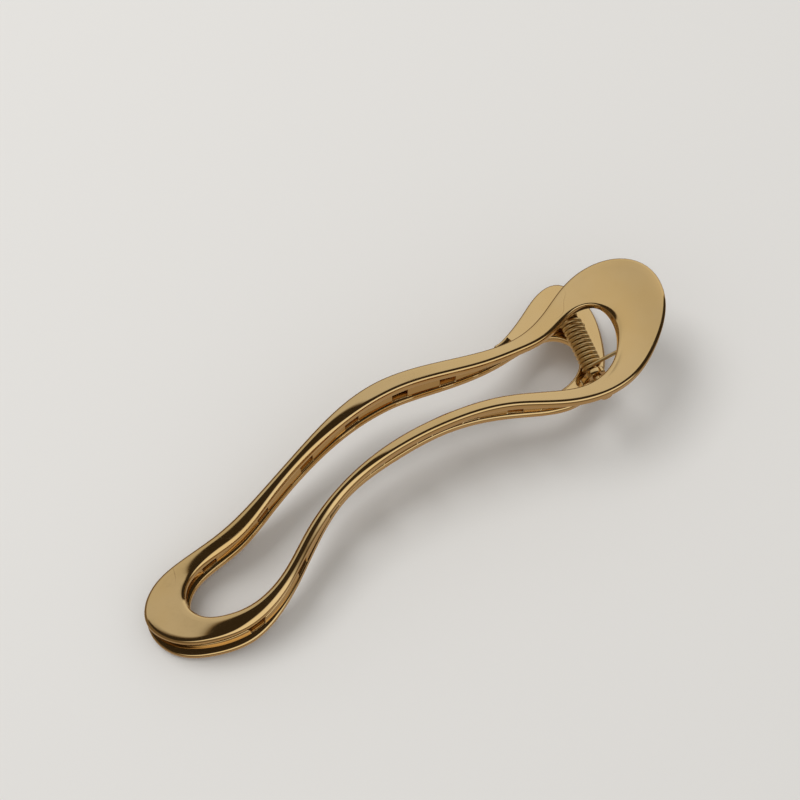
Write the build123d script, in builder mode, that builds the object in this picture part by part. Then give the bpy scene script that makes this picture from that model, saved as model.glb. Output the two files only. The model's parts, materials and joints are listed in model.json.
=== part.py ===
"""Alligator hair clip: two cast wavy loop arms on a riveted hinge pin, closed by a torsion spring.

Millimetres. +X runs from the hinge to the jaw tip, +Y along the hinge pin, +Z from the lower
arm to the upper arm. The origin is on the resting plane, under the middle of the clip. Every
dimension below is measured from the middle of the spring, on the hinge axis.
"""

import os
from math import cos, radians, sin

from build123d import *

os.makedirs("parts", exist_ok=True)

# The hinge, seen from the origin
HINGE = Plane(origin=(-42.2, -6.6, 11.3))

# Cast arms
UPPER_THICKNESS = 3.0
LOWER_THICKNESS = 2.4
UPPER_ROUND = 0.9
LOWER_ROUND = 0.6
REACH = 60.0  # half-length of the cutting prisms, past every outline

# Hinge pin and the ears it runs through
PIN_RADIUS = 0.85
PIN_CLEARANCE = 0.05
HEAD_RADIUS = 1.5
HEAD_THICKNESS = 0.7
HEAD_ROUND = 0.4
EAR_RADIUS = 2.3
EAR_THICKNESS = 1.4

# Each ear's mid-plane y, with the front and rear corners (x, z) of its foot, sunk in its arm
LOWER_EARS = {-6.8: [(3.4, -4.4), (-3.4, -6.6)], 6.8: [(3.4, -4.4), (-1.2, -5.4)]}
UPPER_EARS = {-8.6: [(2.0, 6.0), (-3.4, 6.0)], 11.2: [(2.0, 6.0), (-3.4, 6.0)]}

# Torsion spring
WIRE_RADIUS = 0.4
COIL_RADIUS = 1.85
COIL_LENGTH = 10.9
WHOLE_TURNS = 11
UPPER_LEG_ANGLE = 19.0  # above the rearward direction
LOWER_LEG_ANGLE = 35.0  # below the rearward direction
UPPER_LEG_LENGTH = 9.6
LOWER_LEG_LENGTH = 5.4

# Castellated wall on the lower arm
WALL_THICKNESS = 1.4
WALL_CLEARANCE = 0.4  # closed gap between the wall's top and the upper arm
GAP_LENGTH = 3.3
GAP_START = 5.4
GAP_PITCH = 8.9
PITCH_GROWTH = 0.47  # the teeth get longer towards the tip
GAPS_PER_BAND = 7
GAP_CUT_WIDTH = 6.0


# Plan outlines, each point (x, y), running out along the left band, round the tip, back along
# the right band and round behind the hinge
UPPER_OUTER = [
    (41, -6.2), (51, -4.7), (61.5, -0.6), (72, 4.1), (82, 7.8), (92, 9.8), (99.3, 12.8), (102.4, 18),
    (99.2, 24), (92, 27.3), (84, 27.9), (75, 24.6), (67, 18.5), (57, 12.2), (45, 8.9),
    (32, 8.1), (20, 9.5), (10, 12.9), (2.5, 14.2), (-5, 13.0), (-12.2, 8.2), (-17.1, 1.4), (-17.7, -5.3),
    (-13.3, -11.0), (-6, -12.3), (0.5, -10.2), (7, -6.2), (13, -3.9), (20, -3.6), (30, -5.0),
]
UPPER_INNER = [
    (41, -2.7), (50, -1.5), (60, 1.6), (70, 6.2), (80, 10.9), (88, 12.6), (92.3, 15.1), (93.6, 18.2),
    (92, 21.7), (88, 23.6), (82, 24.1), (75, 21.7), (67, 15.7), (57, 10.0), (45, 6.6),
    (32, 5.7), (20, 6.9), (10.5, 9.6), (4, 10.7), (-1, 9.3), (-4.8, 5.2), (-6, 0.5),
    (-4.8, -3.3), (-1.5, -4.8), (3, -3.6), (8, -1.5), (14, -0.8), (22, -0.8), (32, -2.1),
]
LOWER_OUTER = [
    (41, -6.2), (51, -4.7), (61.5, -0.6), (72, 4.1), (82, 7.8), (92, 9.8), (99.3, 12.8), (102.4, 18),
    (99.9, 24.9), (92.5, 28.6), (83.7, 29.2), (75, 25.1), (67, 18.4), (57, 11.1), (45, 7.8),
    (32, 6.6), (20, 8.3), (12.5, 10.2), (6, 10.8), (-0.5, 8.0), (-5, 2.5), (-7.2, -4.5),
    (-7.2, -11.3), (-3.8, -15.8), (1.9, -15.4), (8, -11.6), (14.7, -7.5), (22, -5.2), (31, -5.3),
]
LOWER_INNER = [
    (41, -2.7), (50, -1.5), (60, 1.6), (70, 6.3), (80, 11.2), (87.5, 13.2), (91.8, 15.5), (93.4, 18.4),
    (92, 21.9), (88, 24.0), (82, 24.5), (75, 21.9), (67, 15.5), (57, 8.8), (45, 5.4),
    (32, 4.0), (20, 5.4), (11, 7.0), (5.5, 6.0), (1.6, 3.0), (0.6, -1.0), (3.5, -4.2),
    (9, -4.6), (15, -3.3), (22, -2.2), (32, -2.3),
]

# Centre line of the castellated wall, out along the left band and back along the right one
WALL_LINE = [
    (14, -5.2), (22, -3.5), (31, -3.6), (41, -4.2), (51, -2.9), (61, 0.7), (71, 5.3), (81, 9.6),
    (91, 12.1), (98, 14.8), (100.2, 18.3), (98, 23.4), (91.8, 26.5), (83.5, 27.1), (75, 23.6),
    (67, 17.1), (57, 10.1), (45, 6.7), (32, 5.4), (20, 6.9), (13, 8.6),
]

# Mid-thickness of each arm in side view, each point (x, z)
UPPER_SPINE = [
    (-22, 11.2), (-10, 7.2), (0, 6.6), (10, 6.6), (20, 7.2), (35, 7.2),
    (50, 5.4), (65, 2.2), (80, -1.8), (92, -4.6), (106, -6.1),
]
LOWER_SPINE = [
    (-12, -15.6), (-7.5, -10.9), (-3.5, -6.8), (2, -4.0), (10, -2.8), (20, -1.2), (35, -0.4),
    (50, -1.6), (65, -4.3), (80, -7.7), (92, -9.6), (106, -10.3),
]


def raised(spine, rise):
    """The points of a spine, lifted."""
    return [(x, z + rise) for x, z in spine]


def side_band(top_points, bottom_points):
    """What lies between two lines of the side view, as a face beyond the +Y side."""
    with BuildSketch(Plane.XZ.offset(-REACH)) as band:
        with BuildLine():
            top = Spline(*top_points)
            bottom = Spline(*bottom_points)
            Line(top @ 0, bottom @ 0)
            Line(top @ 1, bottom @ 1)
        make_face()
    return band.sketch


def bent_loop(outer, inner, spine, thickness, edge_round):
    """A closed loop in plan that follows its spine in side view, with rounded long edges."""
    with BuildPart() as loop:
        with BuildSketch(Plane.XY.offset(-REACH)):
            with BuildLine():
                Spline(*outer, periodic=True)
            make_face()
            with BuildLine():
                Spline(*inner, periodic=True)
            make_face(mode=Mode.SUBTRACT)
        extrude(amount=2 * REACH)
        band = side_band(raised(spine, thickness / 2), raised(spine, -thickness / 2))
        extrude(band, amount=2 * REACH, mode=Mode.INTERSECT)
        fillet(loop.edges().filter_by(lambda edge: edge.length > 2 * thickness), edge_round)
    return loop.part


def across(line, share):
    """The place a share of the way along a line in plan, turned to run along it."""
    return Plane(line @ share, x_dir=line % share, z_dir=(0, 0, 1)).location


def tooth_wall():
    """The wall along the lower arm, cut through between the teeth and whole round the tip."""
    wall_top = raised(UPPER_SPINE, -UPPER_THICKNESS / 2 - WALL_CLEARANCE)
    with BuildPart() as wall:
        with BuildSketch(Plane.XY.offset(-REACH)):
            with BuildLine():
                centre_line = Spline(*WALL_LINE)
            trace(line_width=WALL_THICKNESS)
        extrude(amount=2 * REACH)
        extrude(side_band(wall_top, LOWER_SPINE), amount=2 * REACH, mode=Mode.INTERSECT)
        gaps = [
            (GAP_START + GAP_PITCH * number + PITCH_GROWTH * number**2) / centre_line.length
            for number in range(GAPS_PER_BAND)
        ]
        gaps += [1 - gap for gap in gaps]
        with Locations(*[across(centre_line, gap) for gap in gaps]):
            Box(GAP_LENGTH, GAP_CUT_WIDTH, 3 * REACH, mode=Mode.SUBTRACT)
    return wall.part


def ears(feet):
    """A pair of ears standing from an arm to the hinge axis."""
    with BuildPart() as pair:
        for mid_y, foot in feet.items():
            with BuildSketch(Plane.XZ.offset(-mid_y - EAR_THICKNESS / 2)):
                Circle(EAR_RADIUS)
                with BuildLine():
                    Polyline((-EAR_RADIUS, 0), (EAR_RADIUS, 0), *foot, close=True)
                make_face()
            extrude(amount=EAR_THICKNESS)
    return pair.part


def coil_plane():
    """The plane of the coil's first turn, with the lower leg leaving it at its set angle."""
    start = radians(LOWER_LEG_ANGLE - 90)
    return Plane((0, -COIL_LENGTH / 2, 0), x_dir=(cos(start), 0, sin(start)), z_dir=(0, 1, 0))


def wound_wire():
    """The spring on its own axis: one straight leg, the coil, and the other leg."""
    sweep_angle = 180 - UPPER_LEG_ANGLE - LOWER_LEG_ANGLE
    turns = WHOLE_TURNS + sweep_angle / 360
    along = Vector(-sin(radians(sweep_angle)), -cos(radians(sweep_angle)), 0)
    coil_end = Vector(-along.Y * COIL_RADIUS, along.X * COIL_RADIUS, COIL_LENGTH)
    with BuildPart() as wound:
        with BuildLine():
            Line((COIL_RADIUS, LOWER_LEG_LENGTH, 0), (COIL_RADIUS, 0, 0))
            Helix(COIL_LENGTH / turns, COIL_LENGTH, COIL_RADIUS, lefthand=True)
            Line(coil_end, coil_end + along * UPPER_LEG_LENGTH)
        with BuildSketch(Plane((COIL_RADIUS, LOWER_LEG_LENGTH, 0), z_dir=(0, -1, 0))):
            Circle(WIRE_RADIUS)
        sweep()
    return wound.part


with BuildPart(HINGE) as upper_arm:
    add(bent_loop(UPPER_OUTER, UPPER_INNER, UPPER_SPINE, UPPER_THICKNESS, UPPER_ROUND))
    add(ears(UPPER_EARS))
    Cylinder(PIN_RADIUS + PIN_CLEARANCE, 2 * REACH, rotation=(90, 0, 0), mode=Mode.SUBTRACT)

with BuildPart(HINGE) as lower_arm:
    add(bent_loop(LOWER_OUTER, LOWER_INNER, LOWER_SPINE, LOWER_THICKNESS, LOWER_ROUND))
    add(tooth_wall())
    add(ears(LOWER_EARS))
    Cylinder(PIN_RADIUS + PIN_CLEARANCE, 2 * REACH, rotation=(90, 0, 0), mode=Mode.SUBTRACT)
    # Everything below the resting plane is ground flat
    split(bisect_by=Plane.XY, keep=Keep.TOP)

with BuildPart(HINGE) as torsion_spring:
    with Locations(coil_plane().location):
        add(wound_wire())

with BuildPart(HINGE) as hinge_pin:
    near_head_y = max(UPPER_EARS) + EAR_THICKNESS / 2 + PIN_CLEARANCE
    far_head_y = min(UPPER_EARS) - EAR_THICKNESS / 2 - PIN_CLEARANCE
    with Locations((0, (near_head_y + far_head_y) / 2, 0)):
        Cylinder(PIN_RADIUS, near_head_y - far_head_y, rotation=(90, 0, 0))
    with Locations((0, near_head_y + HEAD_THICKNESS / 2, 0), (0, far_head_y - HEAD_THICKNESS / 2, 0)):
        Cylinder(HEAD_RADIUS, HEAD_THICKNESS, rotation=(90, 0, 0))
    ends = hinge_pin.faces().sort_by(Axis.Y)
    fillet(ends[0].edges() + ends[-1].edges(), HEAD_ROUND)

made_parts = {
    "upper_arm": upper_arm,
    "lower_arm": lower_arm,
    "torsion_spring": torsion_spring,
    "hinge_pin": hinge_pin,
}
for name, made in made_parts.items():
    made.part.label = name
    export_step(made.part, f"parts/{name}.step")
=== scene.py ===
"""Blender scene for the alligator hair clip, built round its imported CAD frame.

Metres, in the row frame. Each cast arm is a new mesh swept round the CAD arm's own outlines,
with softer sections than the CAD solid's. The spring, the rivet and the ears are swept or
turned about the hinge axis. All of them are placed and sized from the CAD nodes.
"""

import json
from math import cos, pi, radians, sin

import bmesh
import bpy
import numpy as np
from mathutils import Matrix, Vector
from mathutils.bvhtree import BVHTree


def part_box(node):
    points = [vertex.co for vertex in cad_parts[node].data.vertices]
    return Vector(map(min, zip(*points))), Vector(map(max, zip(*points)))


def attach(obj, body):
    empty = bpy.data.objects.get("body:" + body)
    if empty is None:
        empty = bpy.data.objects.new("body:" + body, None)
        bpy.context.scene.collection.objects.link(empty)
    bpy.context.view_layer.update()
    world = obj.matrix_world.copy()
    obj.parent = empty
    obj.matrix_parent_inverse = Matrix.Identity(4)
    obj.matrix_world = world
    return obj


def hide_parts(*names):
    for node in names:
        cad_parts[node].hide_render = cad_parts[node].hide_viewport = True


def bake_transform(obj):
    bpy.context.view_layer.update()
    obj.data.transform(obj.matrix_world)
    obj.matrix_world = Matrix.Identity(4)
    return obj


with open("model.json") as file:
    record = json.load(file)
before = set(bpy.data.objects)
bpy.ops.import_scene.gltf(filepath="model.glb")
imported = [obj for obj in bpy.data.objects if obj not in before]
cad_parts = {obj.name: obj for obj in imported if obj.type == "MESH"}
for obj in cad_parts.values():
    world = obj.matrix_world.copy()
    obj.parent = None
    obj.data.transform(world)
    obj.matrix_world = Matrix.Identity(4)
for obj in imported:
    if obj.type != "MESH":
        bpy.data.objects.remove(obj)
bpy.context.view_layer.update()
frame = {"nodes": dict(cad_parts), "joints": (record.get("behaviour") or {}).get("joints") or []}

MM = 0.001
HINGE = Vector(frame["joints"][0]["pos_m"])
UP = Vector((0, 0, 1))

# Reading the CAD arms
PAST_HIT = 0.002 * MM  # how far a ray restarts beyond the face it met
END_INSET = 0.3 * MM  # left out at an arm's ends, where its edges are rounded
SIDE_CURVE_TERMS = 14
BELOW_CLIP = -1 * MM  # where upward rays start
ABOVE_CLIP = 100 * MM
BESIDE_CLIP = -50 * MM
SURVEY_STEPS = 60  # rays along and across an arm
SURVEY_ENDS = 8  # rays left out at each end of it
THICKNESS_RANGE = (0.5 * MM, 8 * MM)
THICKNESS_STEP = 0.1 * MM
WELD = 0.01 * MM
MID_CUT = 0.3 * MM  # off the mid-surface, where the sides are upright
LOOP_POINTS = 4096  # points on a plan outline while it is worked on
SHORTEST_WAVE = 6 * MM  # anything quicker along an outline is tessellation
HALFWAY_WAVE = 1.6  # the wave halved by low_pass, as a multiple of the waves it keeps
FALL_OFF = 8  # how sharply it cuts
PAIRING_WAVES = 9

# Cast arms
STATIONS = 900  # sections round each arm
ROUND_POINTS = 7  # points round one rounded edge
FLAT_POINTS = 9  # points across a flat
SHARP_ANGLE = radians(50)

# Upper arm: where its section changes, ahead of the hinge, and by how much
JAW_RISES = (43 * MM, 62 * MM)
JAW_FADES = (83 * MM, 94 * MM)
TIP_FLATTENS = (86 * MM, 94 * MM)
TIP_SOFTENS = (90 * MM, 98 * MM)
PAD_FADES = (-5 * MM, 6 * MM)
UPPER_EDGE = 0.75 * MM
JAW_EDGE_EXTRA = 0.1 * MM
TIP_EDGE_EXTRA = 0.15 * MM
REAR_LIP_EXTRA = 0.9 * MM  # the rolled lip at the rear of the pad's opening
OPENING_EDGE_CUT = 0.1 * MM  # off the edge all round that opening
UPPER_CROWN = 0.03 * MM
JAW_CROWN = 0.4 * MM
JAW_LEAN = 0.42 * MM
TIP_DISH = 0.04 * MM
PAD_DISH = 0.22 * MM
PAD_THINNED = 1.6 * MM  # off the underside at the opening's far edge

# Lower arm
LOWER_EDGE = 0.62 * MM
EDGE_BESIDE_WALL = 0.85  # the most an edge takes of the flat beside the wall
LOWER_CROWN = 0.1 * MM
LOWER_LEAN = 0.32 * MM

# Ears
EAR_SPOKES = 48
EAR_EDGE = 0.25 * MM
EAR_TRIM = 0.35 * MM  # filed off the CAD ears' round ends
EAR_PROBE = 1.5 * MM  # how far ahead of the hinge axis a ray clears the ears' holes
PARALLEL = 1e-9  # less than this, a spoke and a side of the foot never meet

# The front and rear corners of each ear's foot, in mm from the hinge in side view, far ear first
UPPER_FEET = [((2.0, 6.0), (-3.4, 6.0)), ((2.0, 6.0), (-3.4, 6.0))]
LOWER_FEET = [((3.4, -4.4), (-3.4, -6.6)), ((3.4, -4.4), (-1.2, -5.4))]

# Tooth wall
WALL_FROM_X = 9 * MM  # ahead of the hinge
WALL_BLEND = 3 * MM
WALL_LEAST_HEIGHT = 0.9 * MM
WALL_DRAFT = 0.12 * MM
WALL_ROUND = 0.28 * MM
WALL_SAMPLES = 41  # rays across the band at each station
WALL_WAVES = 30
GAP_HEIGHT = 0.02 * MM  # what stays of the wall in a gap

# Spring wire
WIRE_RADIUS = 0.4 * MM
WHOLE_TURNS = 11
UPPER_LEG_ANGLE = radians(19)
LOWER_LEG_ANGLE = radians(35)
UPPER_LEG_LENGTH = 9.6 * MM
LOWER_LEG_LENGTH = 5.4 * MM
WIRE_SIDES = 16
STEPS_PER_TURN = 48
UPPER_LEG_STEPS = 22
LOWER_LEG_STEPS = 14
BLUNT_END = 0.25  # how far a cut end stands out, as a share of the wire's radius
BLUNT_RINGS = (0.05, 0.7)  # the rings that close it, as shares of the radius

# Rivet: each head as (share of its radius, share of its height), from its inner face to its middle
HEAD_PROFILE = [(0.98, 0.0), (1.0, 0.44), (0.95, 0.65), (0.75, 0.91), (0.4, 1.0), (0.03, 0.95)]
HEAD_SHARE = 0.85  # the set heads are this much of the CAD pin's plain ones
HEAD_GAP = 0.05 * MM
RIVET_SIDES = 40
SHAFT_STEPS = 8


# ---------------------------------------------------------------- reading the CAD nodes

trees = {}


def tree_of(node):
    """A search tree over a CAD node's faces."""
    if node not in trees:
        mesh = bmesh.new()
        mesh.from_mesh(frame["nodes"][node].data)
        trees[node] = BVHTree.FromBMesh(mesh)
        mesh.free()
    return trees[node]


def crossings(node, start, direction):
    """The points where a ray meets a CAD node, nearest first."""
    here, along, hits = Vector(start), Vector(direction).normalized(), []
    while True:
        hit = tree_of(node).ray_cast(here, along)[0]
        if hit is None:
            return hits
        hits.append(hit)
        here = hit + along * PAST_HIT


def surface_line(node, side, steps=240, rows=90):
    """z as a smooth function of x along a CAD arm's top (side 1) or underside (side -1)."""
    low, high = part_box(node)
    reach = 2 * (high.z - low.z)
    found = []
    for x in np.linspace(low.x + END_INSET, high.x - END_INSET, steps):
        hits = [
            tree_of(node).ray_cast(Vector((x, y, side * reach)), Vector((0, 0, -side)))[0]
            for y in np.linspace(low.y, high.y, rows)
        ]
        heights = [side * hit.z for hit in hits if hit is not None]
        if heights:
            found.append((x, side * max(heights)))
    return np.polynomial.Chebyshev.fit(*np.array(found).T, SIDE_CURVE_TERMS)


def arm_thickness(node):
    """An arm's upright thickness: the usual distance through its bands, clear of rounded edges and ears."""
    low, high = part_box(node)
    through = []
    for x in np.linspace(low.x, high.x, SURVEY_STEPS)[SURVEY_ENDS:-SURVEY_ENDS]:
        for y in np.linspace(low.y, high.y, SURVEY_STEPS):
            hits = crossings(node, (x, y, BELOW_CLIP), UP)
            if len(hits) == 2:
                through.append(hits[1].z - hits[0].z)
    tally, edges = np.histogram(through, bins=np.arange(*THICKNESS_RANGE, THICKNESS_STEP))
    least = edges[tally.argmax()] - THICKNESS_STEP / 2
    most = edges[tally.argmax() + 1] + THICKNESS_STEP / 2
    return float(np.median([value for value in through if least < value < most]))


def closed_loops(edges):
    """Edges chained into closed loops of points."""
    unused, loops = dict.fromkeys(edges), []
    while unused:
        first = next(iter(unused))
        del unused[first]
        chain = list(first.verts)
        while chain[-1] is not chain[0]:
            onward = next((edge for edge in chain[-1].link_edges if edge in unused), None)
            if onward is None:
                break
            del unused[onward]
            chain.append(onward.other_vert(chain[-1]))
        loops.append(np.array([vert.co for vert in chain[:-1]], float))
    return loops


def plan_loops(node, middle, cut):
    """An arm's outer and inner outlines, cut just off its mid-surface, as plan curves."""
    mesh = bmesh.new()
    mesh.from_mesh(frame["nodes"][node].data)
    bmesh.ops.remove_doubles(mesh, verts=mesh.verts, dist=WELD)
    for vert in mesh.verts:
        vert.co.z -= middle(vert.co.x)
    everything = mesh.verts[:] + mesh.edges[:] + mesh.faces[:]
    bmesh.ops.bisect_plane(
        mesh, geom=everything, plane_co=(0, 0, cut), plane_no=UP, clear_inner=True, clear_outer=True
    )
    loops = [loop[:, 0] + 1j * loop[:, 1] for loop in closed_loops(mesh.edges)]
    mesh.free()
    longest = sorted(loops, key=loop_length)[:-3:-1]
    return [smooth_loop(loop) for loop in longest]


# ---------------------------------------------------------------- plan curves, as complex numbers


def loop_length(loop):
    return np.abs(np.roll(loop, -1) - loop).sum()


def at_places(loop, places):
    """Points of a closed curve at places counted in its own points."""
    closed = np.append(loop, loop[0])
    index = np.arange(len(closed))
    return np.interp(places, index, closed.real) + 1j * np.interp(places, index, closed.imag)


def evenly(loop, count):
    """A closed curve resampled at even spacing."""
    along = np.concatenate([[0], np.cumsum(np.abs(np.roll(loop, -1) - loop))])
    places = np.interp(np.linspace(0, along[-1], count, endpoint=False), along, np.arange(len(along)))
    return at_places(loop, places)


def low_pass(values, waves_kept):
    """A periodic series without its quick wobbles."""
    spectrum = np.fft.fft(values)
    waves = np.abs(np.fft.fftfreq(len(values), 1 / len(values)))
    spectrum *= 1 / (1 + (waves / (HALFWAY_WAVE * waves_kept)) ** FALL_OFF)
    result = np.fft.ifft(spectrum)
    return result if np.iscomplexobj(values) else result.real


def smooth_loop(loop):
    """A closed curve with its facets smoothed away, anticlockwise from its rearmost point."""
    loop = evenly(loop, LOOP_POINTS)
    area = (loop.real * np.roll(loop, -1).imag - np.roll(loop, -1).real * loop.imag).sum()
    if area < 0:
        loop = loop[::-1]
    loop = np.roll(loop, -loop.real.argmin())
    return evenly(low_pass(loop, loop_length(loop) / SHORTEST_WAVE), LOOP_POINTS)


def paired(outer, inner):
    """The outlines as matching stations: each inner point with the outer point across from it."""
    inner = evenly(inner, STATIONS)
    own_share = np.arange(STATIONS) / STATIONS
    nearest = np.abs(outer[None, :] - inner[:, None]).argmin(axis=1) / len(outer)
    lead = np.unwrap((nearest - own_share) * 2 * pi) / (2 * pi)
    share = (own_share + low_pass(lead, PAIRING_WAVES)) % 1
    return at_places(outer, share * len(outer)), inner


def ramp(value, start, end):
    """0 before start, 1 after end, smooth between."""
    share = np.clip((value - start) / (end - start), 0, 1)
    return share * share * (3 - 2 * share)


# ---------------------------------------------------------------- meshes


def mesh_object(name, points, faces):
    mesh = bpy.data.meshes.new(name)
    mesh.from_pydata([tuple(point) for point in points], [], faces)
    mesh.validate()
    mesh.shade_smooth()
    mesh.set_sharp_from_angle(angle=SHARP_ANGLE)
    made = bpy.data.objects.new(name, mesh)
    bpy.context.scene.collection.objects.link(made)
    return made


def grid_faces(rows, columns, rows_close, columns_close):
    """Quads over a grid of points that may close on itself either way."""
    index = np.arange(rows * columns).reshape(rows, columns)
    ahead = np.roll(index, -1, axis=0)
    quads = np.stack([index, np.roll(index, -1, axis=1), np.roll(ahead, -1, axis=1), ahead], axis=-1)
    if not rows_close:
        quads = quads[:-1]
    if not columns_close:
        quads = quads[:, :-1]
    return quads.reshape(-1, 4).tolist()


def capped(rows, sides):
    """The faces of a closed round body from its rings of points, with a flat cap at each end."""
    faces = grid_faces(rows, sides, False, True)
    faces.append(list(range(sides)))
    faces.append(list(range(rows * sides - 1, (rows - 1) * sides - 1, -1)))
    return faces


def arc(radius, start, end, count=ROUND_POINTS):
    """Points of an arc about (0, 0) in a section, angles in degrees."""
    angles = np.radians(np.linspace(start, end, count))
    return np.stack([radius * np.cos(angles), radius * np.sin(angles)], axis=-1)


def union(target, others):
    """Merge other closed meshes into the target's mesh."""
    for other in others:
        cut = target.modifiers.new("union", "BOOLEAN")
        cut.operation = "UNION"
        cut.solver = "EXACT"
        cut.object = other
    bpy.context.view_layer.update()
    evaluated = target.evaluated_get(bpy.context.evaluated_depsgraph_get())
    merged = bpy.data.meshes.new_from_object(evaluated)
    target.modifiers.clear()
    target.data = merged
    for other in others:
        bpy.data.objects.remove(other)


# ---------------------------------------------------------------- the cast arms


def band_section(half_width, half_height, outer_edge, inner_edge, top):
    """Points round a band's section, (across, up), anticlockwise from the outer underside.

    top holds the points over the band, from its outer edge to its inner edge."""
    low = -half_height
    outer, inner = half_width - outer_edge, inner_edge - half_width
    under = np.linspace(inner, outer, FLAT_POINTS)[1:-1]
    return np.vstack(
        [
            arc(outer_edge, -90, 0) + (outer, low + outer_edge),
            arc(outer_edge, 0, 90) + (outer, half_height - outer_edge),
            top,
            arc(inner_edge, 90, 180) + (inner, half_height - inner_edge),
            arc(inner_edge, 180, 270) + (inner, low + inner_edge),
            np.stack([under, np.full_like(under, low)], axis=-1),
        ]
    )


def crowned(section, half_width, half_height, crown, lean):
    """A section with its upper half domed, and sloped down towards one side by the lean."""
    side = section[:, 0] / half_width
    drop = (crown * side**2 + lean * side) * np.clip(section[:, 1] / half_height, 0, 1)
    section[:, 1] -= drop
    return section


def upper_section(station):
    """The upper arm: dished at the pad, flat behind the jaw, domed along it, broad at the tip."""
    x, across = station["x"], station["across"]
    half_width, half_height = station["half_width"], station["half_height"]
    jaw = ramp(x, *JAW_RISES) * (1 - ramp(x, *JAW_FADES))
    pad = 1 - ramp(x, *PAD_FADES)
    rearward = max(-across.real, 0)
    farward = max(-across.imag, 0)
    edge = UPPER_EDGE + JAW_EDGE_EXTRA * jaw + TIP_EDGE_EXTRA * ramp(x, *TIP_SOFTENS)
    inner_edge = edge + (REAR_LIP_EXTRA * rearward**2 - OPENING_EDGE_CUT) * pad
    flat = np.linspace(half_width - edge, inner_edge - half_width, FLAT_POINTS)[1:-1]
    top = np.stack([flat, np.full_like(flat, half_height)], axis=-1)
    section = band_section(half_width, half_height, edge, inner_edge, top)
    # The pad's far side thins towards the opening
    inwards = np.clip(-section[:, 0] / half_width, 0, 1)
    downwards = np.clip(-section[:, 1] / half_height, 0, 1)
    section[:, 1] += PAD_THINNED * pad * farward * inwards**2 * downwards
    crown = UPPER_CROWN + JAW_CROWN * jaw - TIP_DISH * ramp(x, *TIP_FLATTENS) - PAD_DISH * pad
    return crowned(section, half_width, half_height, crown, JAW_LEAN * jaw * across.imag)


def lower_section(station):
    """The lower arm: a flat band with the tooth wall standing on it where the CAD arm has one."""
    half_width, half_height = station["half_width"], station["half_height"]
    centre, half_wall, height = station["wall_centre"], station["half_wall"], station["wall_height"]
    walled = ramp(station["x"], WALL_FROM_X, WALL_FROM_X + WALL_BLEND)
    beside_wall = half_width - half_wall - abs(centre) - WALL_DRAFT
    edge = LOWER_EDGE * (1 - walled) + min(LOWER_EDGE, EDGE_BESIDE_WALL * beside_wall) * walled
    straight = max(height - WALL_ROUND, 0)
    side = np.array([(WALL_DRAFT, 0.0), (WALL_DRAFT / 4, WALL_ROUND), (0, straight)])
    corner = arc(WALL_ROUND, 0, 90, 4)[1:] + (-WALL_ROUND, straight)
    outer_side = np.vstack([side, corner])
    outer_side[:, 1] = np.minimum(outer_side[:, 1], height)
    inner_side = outer_side[::-1] * (-1, 1)
    wall = np.vstack([outer_side + (half_wall, 0), [(0, height)], inner_side - (half_wall, 0)])
    plain = np.linspace(half_width - edge, edge - half_width, len(wall) + 2)[1:-1]
    across = plain * (1 - walled) + (wall[:, 0] + centre) * walled
    top = np.stack([across, half_height + wall[:, 1] * walled], axis=-1)
    section = band_section(half_width, half_height, edge, edge, top)
    lean = LOWER_LEAN * walled * station["across"].imag
    return crowned(section, half_width, half_height, LOWER_CROWN * walled, lean)


def read_stations(node, middle, cut):
    """The arm as stations round its loop, each with its place, direction and half-width."""
    outer, inner = paired(*plan_loops(node, middle, cut))
    return {
        "centre": (outer + inner) / 2,
        "across": (outer - inner) / np.abs(outer - inner),
        "half_width": np.abs(outer - inner) / 2,
        "x": ((outer + inner) / 2).real - HINGE.x,
    }


def read_wall(stations, plate_top):
    """Add to the lower arm's stations where its tooth wall stands and how high it is."""
    centre, half_wall, height = [], [], []
    for place, across, half_width in zip(stations["centre"], stations["across"], stations["half_width"]):
        offsets = np.linspace(-half_width, half_width, WALL_SAMPLES)
        tall = []
        for offset in offsets if place.real - HINGE.x > WALL_FROM_X else []:
            spot = place + across * offset
            hit = tree_of("lower_arm").ray_cast(Vector((spot.real, spot.imag, ABOVE_CLIP)), -UP)[0]
            rise = hit.z - plate_top(spot.real) if hit else 0
            if rise > WALL_LEAST_HEIGHT:
                tall.append((offset, rise))
        tall = np.array(tall) if len(tall) > 2 else np.full((1, 2), np.nan)
        centre.append((tall[0, 0] + tall[-1, 0]) / 2)
        half_wall.append(abs(tall[-1, 0] - tall[0, 0]) / 2 + half_width / WALL_SAMPLES)
        height.append(tall[:, 1].max())
    there = np.isfinite(centre)
    index = np.arange(STATIONS)
    filled = np.interp(index, index[there], np.array(centre)[there], period=STATIONS)
    stations["wall_centre"] = low_pass(filled, WALL_WAVES)
    stations["half_wall"] = np.full(STATIONS, np.nanmedian(half_wall))
    full = np.interp(index, index[there], np.array(height)[there], period=STATIONS)
    # Height falls off in a rounded corner over the last stations before each gap
    gap_index = index[~there]
    apart = np.abs(index[:, None] - gap_index[None, :])
    apart = np.minimum(apart, STATIONS - apart).min(axis=1) - 1
    spacing = loop_length(stations["centre"]) / STATIONS
    inset = np.clip(apart * spacing / WALL_ROUND, 0, 1)
    rounded = full - WALL_ROUND * (1 - np.sqrt(1 - (1 - inset) ** 2))
    stations["wall_height"] = np.where(there, rounded, GAP_HEIGHT)


def swept_arm(name, stations, middle, thickness, section_of):
    """The arm's ring mesh, from its section at every station."""
    sections = []
    for index in range(STATIONS):
        station = {key: values[index] for key, values in stations.items()}
        profile = section_of({**station, "half_height": thickness / 2})
        plan = station["centre"] + station["across"] * profile[:, 0]
        height = middle(plan.real) + profile[:, 1]
        sections.append(np.stack([plan.real, plan.imag, height], axis=-1))
    sections = np.array(sections)
    return mesh_object(name, sections.reshape(-1, 3), grid_faces(*sections.shape[:2], True, True))


# ---------------------------------------------------------------- ears


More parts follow.
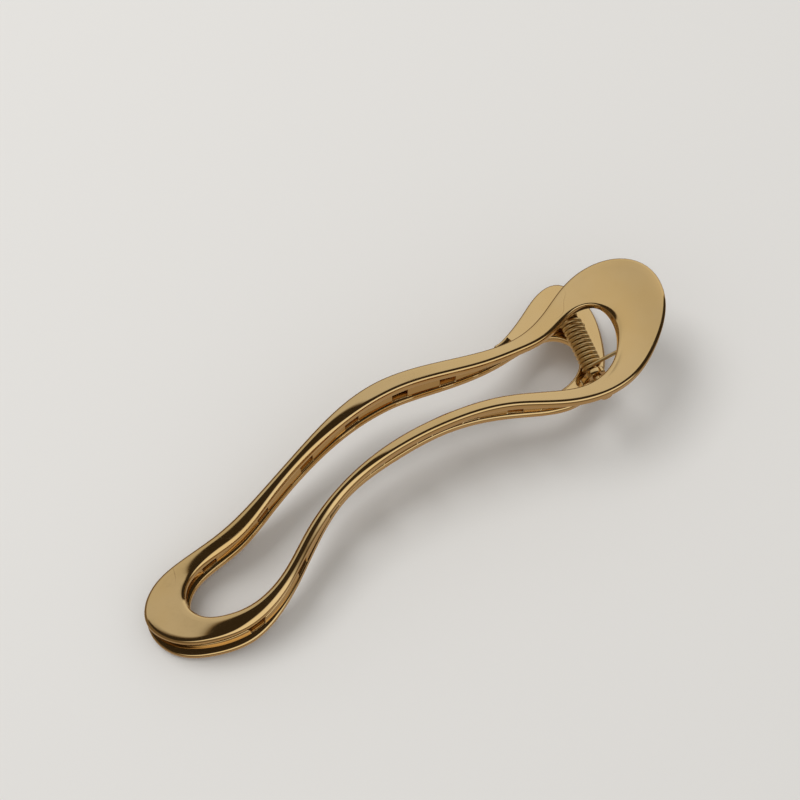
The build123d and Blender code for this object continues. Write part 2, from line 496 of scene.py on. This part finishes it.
def read_ears(node):
    """Each of an arm's two ears, from lines through the CAD arm: (low y, high y)."""
    beside_hole = HINGE + Vector((EAR_PROBE, BESIDE_CLIP, 0))
    hits = [hit.y for hit in crossings(node, beside_hole, (0, 1, 0))]
    return list(zip(hits[0::2], hits[1::2]))


def read_ear_radii(node, mid_y):
    """An ear's hole radius and outer radius, along x at hinge height."""
    hits = [hit.x - HINGE.x for hit in crossings(node, (HINGE.x, mid_y, HINGE.z), (1, 0, 0))]
    return hits[0], hits[1]


def spoke_reach(way, radius, foot):
    """How far an ear reaches from the hinge axis along a direction in side view."""
    corners = [np.array((radius, 0)), *foot, np.array((-radius, 0))]
    # Round on the side away from the foot
    if way[1] * foot[0][1] <= 0:
        return radius
    reaches = []
    for near, far in zip(corners, corners[1:]):
        along = far - near
        turn = way[0] * along[1] - way[1] * along[0]
        if abs(turn) > PARALLEL:
            reaches.append((near[0] * along[1] - near[1] * along[0]) / turn)
    return min([reach for reach in reaches if reach > radius / 2] + [foot_limit(foot)])


def foot_limit(foot):
    """The longest a spoke can be: the distance to the foot's further corner."""
    return max(np.hypot(*corner) for corner in foot)


def ear(low_y, high_y, hole, radius, foot):
    """An ear: a round eye on the hinge axis, running out to its foot in the arm."""
    half = (high_y - low_y) / 2
    foot = [np.array(corner) * MM for corner in foot]
    points = []
    for angle in np.arange(EAR_SPOKES) * 2 * pi / EAR_SPOKES:
        way = np.array((cos(angle), sin(angle)))
        reach = spoke_reach(way, radius, foot)
        section = np.vstack(
            [
                arc(EAR_EDGE, -90, 0, 4) + (reach - EAR_EDGE, EAR_EDGE - half),
                arc(EAR_EDGE, 0, 90, 4) + (reach - EAR_EDGE, half - EAR_EDGE),
                arc(EAR_EDGE / 2, 90, 180, 3) + (hole + EAR_EDGE / 2, half - EAR_EDGE / 2),
                arc(EAR_EDGE / 2, 180, 270, 3) + (hole + EAR_EDGE / 2, EAR_EDGE / 2 - half),
            ]
        )
        for out, side in section:
            points.append((HINGE.x + out * way[0], (low_y + high_y) / 2 + side, HINGE.z + out * way[1]))
    return mesh_object("ear", points, grid_faces(EAR_SPOKES, len(points) // EAR_SPOKES, True, True))


def ears_of(node, feet):
    """Both of an arm's ears, from the far side to the near side."""
    made = []
    for (low_y, high_y), foot in zip(sorted(read_ears(node)), feet):
        hole, radius = read_ear_radii(node, (low_y + high_y) / 2)
        made.append(ear(low_y, high_y, hole, radius - EAR_TRIM, foot))
    return made


# ---------------------------------------------------------------- spring and rivet


def tube(name, path, radius, sides):
    """A round wire along a path, with its ends closed and slightly rounded."""
    path = np.array(path)
    ways = np.gradient(path, axis=0)
    ways /= np.linalg.norm(ways, axis=1)[:, None]
    normal = np.cross(ways[0], (0, 1, 0))
    rings = []
    angles = np.arange(sides) * 2 * pi / sides
    for point, way in zip(path, ways):
        normal = normal - way * (normal @ way)
        normal /= np.linalg.norm(normal)
        side = np.cross(way, normal)
        rings.append(point + radius * (np.outer(np.cos(angles), normal) + np.outer(np.sin(angles), side)))
    first, last = rings[0], rings[-1]
    blunt = BLUNT_END * radius
    start = [path[0] - ways[0] * blunt + (first - path[0]) * scale for scale in BLUNT_RINGS]
    end = [path[-1] + ways[-1] * blunt + (last - path[-1]) * scale for scale in BLUNT_RINGS[::-1]]
    rings = np.array(start + rings + end)
    return mesh_object(name, rings.reshape(-1, 3), capped(len(rings), sides))


def spring_path():
    """The spring's centre line: the lower leg, the coil round the hinge axis, the upper leg."""
    low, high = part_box("torsion_spring")
    coil_radius = high.x - HINGE.x - WIRE_RADIUS
    first_y, last_y = low.y + WIRE_RADIUS, high.y - WIRE_RADIUS
    start = LOWER_LEG_ANGLE - pi / 2
    end = pi / 2 - UPPER_LEG_ANGLE + WHOLE_TURNS * 2 * pi

    def on_coil(angle):
        share = (angle - start) / (end - start)
        return np.array(
            (
                HINGE.x + coil_radius * cos(angle),
                first_y + share * (last_y - first_y),
                HINGE.z + coil_radius * sin(angle),
            )
        )

    lower_way = np.array((sin(start), 0, -cos(start)))
    upper_way = np.array((-sin(end), 0, cos(end)))
    steps = int(WHOLE_TURNS * STEPS_PER_TURN)
    lower_reaches = np.linspace(LOWER_LEG_LENGTH, 0, LOWER_LEG_STEPS)[:-1]
    upper_reaches = np.linspace(0, UPPER_LEG_LENGTH, UPPER_LEG_STEPS)[1:]
    lower_leg = [on_coil(start) + lower_way * reach for reach in lower_reaches]
    coil = [on_coil(angle) for angle in np.linspace(start, end, steps)]
    upper_leg = [on_coil(end) + upper_way * reach for reach in upper_reaches]
    return lower_leg + coil + upper_leg, first_y, last_y


def rivet():
    """The hinge pin: a plain shaft between two domed, set heads."""
    low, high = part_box("hinge_pin")
    head = HEAD_SHARE * (high.z - low.z) / 2
    lower_ears = read_ears("lower_arm")
    between = (lower_ears[0][1] + lower_ears[1][0]) / 2
    shaft = crossings("hinge_pin", (HINGE.x, between, HINGE.z), (1, 0, 0))[0].x - HINGE.x
    upper_ears = read_ears("upper_arm")
    far = upper_ears[0][0] - HEAD_GAP
    near = upper_ears[1][1] + HEAD_GAP
    far_head = [(head * out, far + HEAD_SHARE * rise * (low.y - far)) for out, rise in HEAD_PROFILE]
    near_head = [(head * out, near + HEAD_SHARE * rise * (high.y - near)) for out, rise in HEAD_PROFILE]
    profile = far_head[::-1] + [(shaft, y) for y in np.linspace(far, near, SHAFT_STEPS)] + near_head
    points = [
        (HINGE.x + radius * cos(angle), y, HINGE.z + radius * sin(angle))
        for radius, y in profile
        for angle in np.arange(RIVET_SIDES) * 2 * pi / RIVET_SIDES
    ]
    return mesh_object("rivet", points, capped(len(profile), RIVET_SIDES))


# ---------------------------------------------------------------- the clip

upper_top = surface_line("upper_arm", 1)
lower_under = surface_line("lower_arm", -1)
UPPER_THICKNESS = arm_thickness("upper_arm")
LOWER_THICKNESS = arm_thickness("lower_arm")


def upper_middle(x):
    return upper_top(x) - UPPER_THICKNESS / 2


def lower_middle(x):
    return lower_under(x) + LOWER_THICKNESS / 2


upper_stations = read_stations("upper_arm", upper_middle, MID_CUT)
lower_stations = read_stations("lower_arm", lower_middle, -MID_CUT)
read_wall(lower_stations, lambda x: lower_middle(x) + LOWER_THICKNESS / 2)

upper = swept_arm("upper_casting", upper_stations, upper_middle, UPPER_THICKNESS, upper_section)
lower = swept_arm("lower_casting", lower_stations, lower_middle, LOWER_THICKNESS, lower_section)
union(upper, ears_of("upper_arm", UPPER_FEET))
union(lower, ears_of("lower_arm", LOWER_FEET))
path, first_y, last_y = spring_path()
spring = tube("coil_spring", path, WIRE_RADIUS, WIRE_SIDES)
pin = rivet()

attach(upper, "upper")
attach(lower, "lower")
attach(pin, "upper")
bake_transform(spring)
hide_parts("upper_arm")
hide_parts("lower_arm")
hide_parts("torsion_spring")
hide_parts("hinge_pin")

# ---------------------------------------------------------------- gold, as node materials


class Nodes:
    """A short way to write a node tree: every call makes one node and returns its output."""

    def __init__(self, tree):
        self.tree = tree
        tree.nodes.clear()

    def add(self, kind, output=0, settings=None, **inputs):
        node = self.tree.nodes.new(kind)
        for name, value in (settings or {}).items():
            setattr(node, name, value)
        for name, value in inputs.items():
            socket = node.inputs[int(name[1:])] if name[1:].isdigit() else node.inputs[name.replace("_", " ")]
            if isinstance(value, bpy.types.NodeSocket):
                self.tree.links.new(value, socket)
            else:
                socket.default_value = value
        return node.outputs[output]

    def show(self, kind, surface):
        self.tree.links.new(surface, self.tree.nodes.new(kind).inputs["Surface"])

    def maths(self, operation, first, second=0.0, third=0.0):
        return self.add("ShaderNodeMath", 0, {"operation": operation}, i0=first, i1=second, i2=third)

    def noise(self, place, scale, detail=2.0, roughness=0.5, distortion=0.0):
        return self.add(
            "ShaderNodeTexNoise", 0, None,
            Vector=place, Scale=scale, Detail=detail, Roughness=roughness, Distortion=distortion,
        )

    def ramp(self, value, low, high, start=0.0, end=1.0):
        """start at low and below, end at high and above, smooth between."""
        return self.add(
            "ShaderNodeMapRange", 0, {"interpolation_type": "SMOOTHSTEP"},
            Value=value, From_Min=low, From_Max=high, To_Min=start, To_Max=end,
        )

    def mix(self, share, first, second):
        return self.add("ShaderNodeMix", 2, {"data_type": "RGBA"}, i0=share, i6=first, i7=second)

    def stretched(self, place, scale, turn=(0.0, 0.0, 0.0)):
        return self.add("ShaderNodeMapping", 0, None, Vector=place, Rotation=turn, Scale=scale)


GOLD = (0.765, 0.55, 0.27, 1)
WIRE_GOLD = (0.84, 0.64, 0.33, 1)
WARMER = (0.97, 0.93, 0.82, 1)
# Brown for the painted shade in corners, and for the finger smears
SHADE_AND_SMEAR_BROWN = (0.42, 0.31, 0.21, 1)
CORNER_SHADE_REACH = 4 * MM  # how close a surface must be to hem another in and darken it with painted shade


def tinted(colour, tint):
    return tuple(value * factor for value, factor in zip(colour, tint))


def gold_material(name, colour, roughness, peel, scratch, corner_shade_strength):
    """Plated gold: slightly wavy and finely scratched, smudged by fingers, with painted shade darkening its
    corners.

    peel and scratch are heights; the last argument is how far painted corner shade, a brown darkening, hides
    the gold in a corner."""
    made = bpy.data.materials.new(name)
    made.use_nodes = True
    nodes = Nodes(made.node_tree)
    place = nodes.add("ShaderNodeTexCoord", 3)

    # Colour: broad drift of the plating, and painted shade, a brown darkening where ambient occlusion finds
    # the surface hemmed in
    drift = nodes.ramp(nodes.noise(place, 45, 3, 0.6), 0.35, 0.7)
    warm = tinted(colour, WARMER)
    open_to_sky = nodes.add("ShaderNodeAmbientOcclusion", 1, {"samples": 6}, Distance=CORNER_SHADE_REACH)
    painted_corner_shade = nodes.ramp(open_to_sky, 0.25, 0.85, corner_shade_strength, 0.0)
    shade_and_smear_brown = tinted(colour, SHADE_AND_SMEAR_BROWN)
    plated = nodes.mix(drift, colour, warm)
    base = nodes.mix(painted_corner_shade, plated, shade_and_smear_brown)

    # Finger smudges, with a few hair-thin curved smears
    smudge = nodes.ramp(nodes.noise(place, 95, 4, 0.62, 0.4), 0.46, 0.72)
    contour = nodes.maths("ABSOLUTE", nodes.maths("SUBTRACT", nodes.noise(place, 70, 0.5, 0.5, 0.6), 0.5))
    here = nodes.ramp(nodes.noise(place, 38, 1), 0.56, 0.62)
    smear = nodes.maths("MULTIPLY", nodes.ramp(contour, 0.0, 0.005, 1.0, 0.0), here)
    grain = nodes.noise(nodes.stretched(place, (700, 5200, 5200), (0, 0, radians(24))), 1, 3, 0.6)
    rough = nodes.maths("MULTIPLY_ADD", smudge, 0.09, roughness)
    rough = nodes.maths("MULTIPLY_ADD", smear, 0.16, rough)
    rough = nodes.maths("MULTIPLY_ADD", nodes.ramp(grain, 0.45, 0.75), 0.05, rough)
    # The smears stain a base that already holds the painted corner shade
    shaded_and_stained = nodes.mix(nodes.maths("MULTIPLY", smear, 0.3), base, shade_and_smear_brown)

    # Relief: slight waviness of the casting, fine scratches over it
    waves = nodes.noise(place, 260, 2, 0.5)
    crossed = nodes.noise(nodes.stretched(place, (4200, 260, 4200), (0, 0, radians(-12))), 1, 2, 0.6)
    wavy = nodes.add("ShaderNodeBump", 0, None, Strength=1.0, Distance=peel, Height=waves)
    scratches = nodes.maths("ADD", nodes.ramp(grain, 0.55, 0.8), nodes.ramp(crossed, 0.62, 0.8))
    relief = nodes.add(
        "ShaderNodeBump", 0, None,
        Strength=1.0, Distance=scratch, Height=scratches, Normal=wavy,
    )

    shader = nodes.add(
        "ShaderNodeBsdfPrincipled", 0, None,
        Base_Color=shaded_and_stained, Metallic=1.0, Roughness=rough, Normal=relief,
    )
    nodes.show("ShaderNodeOutputMaterial", shader)
    return made


# The last figure of each finish is the strength of its painted corner shade
casting_gold = gold_material(
    "polished_gold", GOLD, roughness=0.07, peel=0.006 * MM, scratch=0.0004 * MM, corner_shade_strength=0.8
)
wire_gold = gold_material(
    "gold_wire", WIRE_GOLD, roughness=0.32, peel=0.002 * MM, scratch=0.0006 * MM, corner_shade_strength=0.15
)
rivet_gold = gold_material(
    "gold_rivet", GOLD, roughness=0.14, peel=0.008 * MM, scratch=0.0008 * MM, corner_shade_strength=0.5
)
materials = {upper: casting_gold, lower: casting_gold, spring: wire_gold, pin: rivet_gold}
for piece, material in materials.items():
    piece.data.materials.clear()
    piece.data.materials.append(material)

# ---------------------------------------------------------------- camera

CAMERA_AZIMUTH, CAMERA_ELEVATION = radians(157), radians(69)
CAMERA_DISTANCE = 420 * MM
CAMERA_LENS = 92.6
CAMERA_AIM = Vector((-3.9, -11.3, 7.6)) * MM

back = Vector(
    (
        sin(CAMERA_AZIMUTH) * cos(CAMERA_ELEVATION),
        -cos(CAMERA_AZIMUTH) * cos(CAMERA_ELEVATION),
        sin(CAMERA_ELEVATION),
    )
)
camera = bpy.data.objects.new("camera", bpy.data.cameras.new("camera"))
bpy.context.scene.collection.objects.link(camera)
camera.data.lens = CAMERA_LENS
camera.data.clip_start = 0.01
camera.location = CAMERA_AIM + back * CAMERA_DISTANCE
camera.rotation_euler = back.to_track_quat("Z", "Y").to_euler()
bpy.context.scene.camera = camera

# ---------------------------------------------------------------- floor and light


FLOOR_REACH = 20  # far enough to hide its edge in a low view
FLOOR_COLOUR = (0.80, 0.79, 0.77, 1)
PALE = (1.0, 0.985, 0.96, 1)
AMBER = (1.0, 0.76, 0.50, 1)
FLOOR_LIGHT = 0.62

# What the metal reflects. Zones start and end at a share of the reflected direction: +y runs away
# past the viewer, z up. Two strengths are those at either end of a zone.
CEILING_EDGE = (-0.25, -0.13)
CEILING_LIGHT = (0.69, 0.54)  # towards the pad, towards the tip
CEILING_SPAN = (-0.6, 0.5)  # from the pad's side to the tip's
BEYOND_EDGE = (0.62, 0.80)
BEYOND_LIGHT = 0.92
STRIP_LIGHT = 0.035  # the dark strip between ceiling and beyond, round the viewer
EDGE_SLANT = 0.12  # the edges of both lie this much lower in y per unit of x
UNEVENNESS = 0.08  # how far those edges wander
HORIZON_EDGE = (-0.06, 0.10)
HORIZON_TILT = -0.38  # higher towards the tip, lower towards the pad
BELOW_EDGE = (-0.88, -0.55)
BELOW_LIGHT = (0.38, 0.18)  # straight down, near the horizon
PALE_STRENGTHS = (0.08, 0.45)  # above the horizon, dim reflections are amber and bright ones pale


def pale_floor():
    """A plain pale tabletop, left out of the metal's reflections."""
    corners = [(x * FLOOR_REACH, y * FLOOR_REACH, 0) for x, y in ((-1, -1), (1, -1), (1, 1), (-1, 1))]
    made = mesh_object("floor", corners, [(0, 1, 2, 3)])
    material = bpy.data.materials.new("floor_paint")
    material.use_nodes = True
    shader = material.node_tree.nodes["Principled BSDF"]
    shader.inputs["Base Color"].default_value = FLOOR_COLOUR
    shader.inputs["Roughness"].default_value = 0.8
    shader.inputs["Specular IOR Level"].default_value = 0.1
    made.data.materials.append(material)
    made.visible_glossy = False
    return made


def studio_world():
    """Even pale light for the floor; in the metal, a bright ceiling with a dark strip round the viewer."""
    world = bpy.data.worlds.new("studio")
    world.use_nodes = True
    nodes = Nodes(world.node_tree)
    way = nodes.add("ShaderNodeTexCoord", 0)
    parts = world.node_tree.nodes.new("ShaderNodeSeparateXYZ")
    world.node_tree.links.new(way, parts.inputs[0])
    x, y, z = parts.outputs
    uneven = nodes.maths("MULTIPLY_ADD", nodes.noise(way, 2.2, 3), UNEVENNESS, -UNEVENNESS / 2)
    away = nodes.maths("ADD", nodes.maths("MULTIPLY_ADD", x, EDGE_SLANT, y), uneven)
    overhead = nodes.ramp(away, *CEILING_EDGE, 1.0, 0.0)
    ceiling = nodes.maths("MULTIPLY", overhead, nodes.ramp(x, *CEILING_SPAN, *CEILING_LIGHT))
    beyond = nodes.ramp(away, *BEYOND_EDGE, 0.0, BEYOND_LIGHT)
    sky = nodes.maths("ADD", nodes.maths("ADD", ceiling, beyond), STRIP_LIGHT)
    above = nodes.ramp(nodes.maths("MULTIPLY_ADD", x, HORIZON_TILT, z), *HORIZON_EDGE)
    below = nodes.ramp(z, *BELOW_EDGE, *BELOW_LIGHT)
    seen_in_metal = nodes.add("ShaderNodeMix", 0, None, i0=above, i2=below, i3=sky)
    white = nodes.maths("MULTIPLY", nodes.ramp(seen_in_metal, *PALE_STRENGTHS), above)
    tint = nodes.mix(white, AMBER, PALE)
    in_metal = nodes.add("ShaderNodeBackground", 0, None, Color=tint, Strength=seen_in_metal)
    plain = nodes.add("ShaderNodeBackground", 0, None, Color=PALE, Strength=FLOOR_LIGHT)
    glossy = nodes.add("ShaderNodeLightPath", 3)
    chosen = nodes.add("ShaderNodeMixShader", 0, None, i0=glossy, i1=plain, i2=in_metal)
    nodes.show("ShaderNodeOutputWorld", chosen)
    return world


def soft_box(name, place, size, energy):
    """A broad lamp that lights the floor and throws a soft shadow."""
    light = bpy.data.lights.new(name, "AREA")
    light.size = size
    light.energy = energy
    made = bpy.data.objects.new(name, light)
    bpy.context.scene.collection.objects.link(made)
    made.location = place
    made.rotation_euler = Vector(place).to_track_quat("Z", "Y").to_euler()
    made.visible_glossy = False
    return made


pale_floor()
bpy.context.scene.world = studio_world()
soft_box("key", place=(0.25, -0.45, 0.9), size=0.5, energy=4.0)
bpy.context.scene.view_settings.view_transform = "Standard"
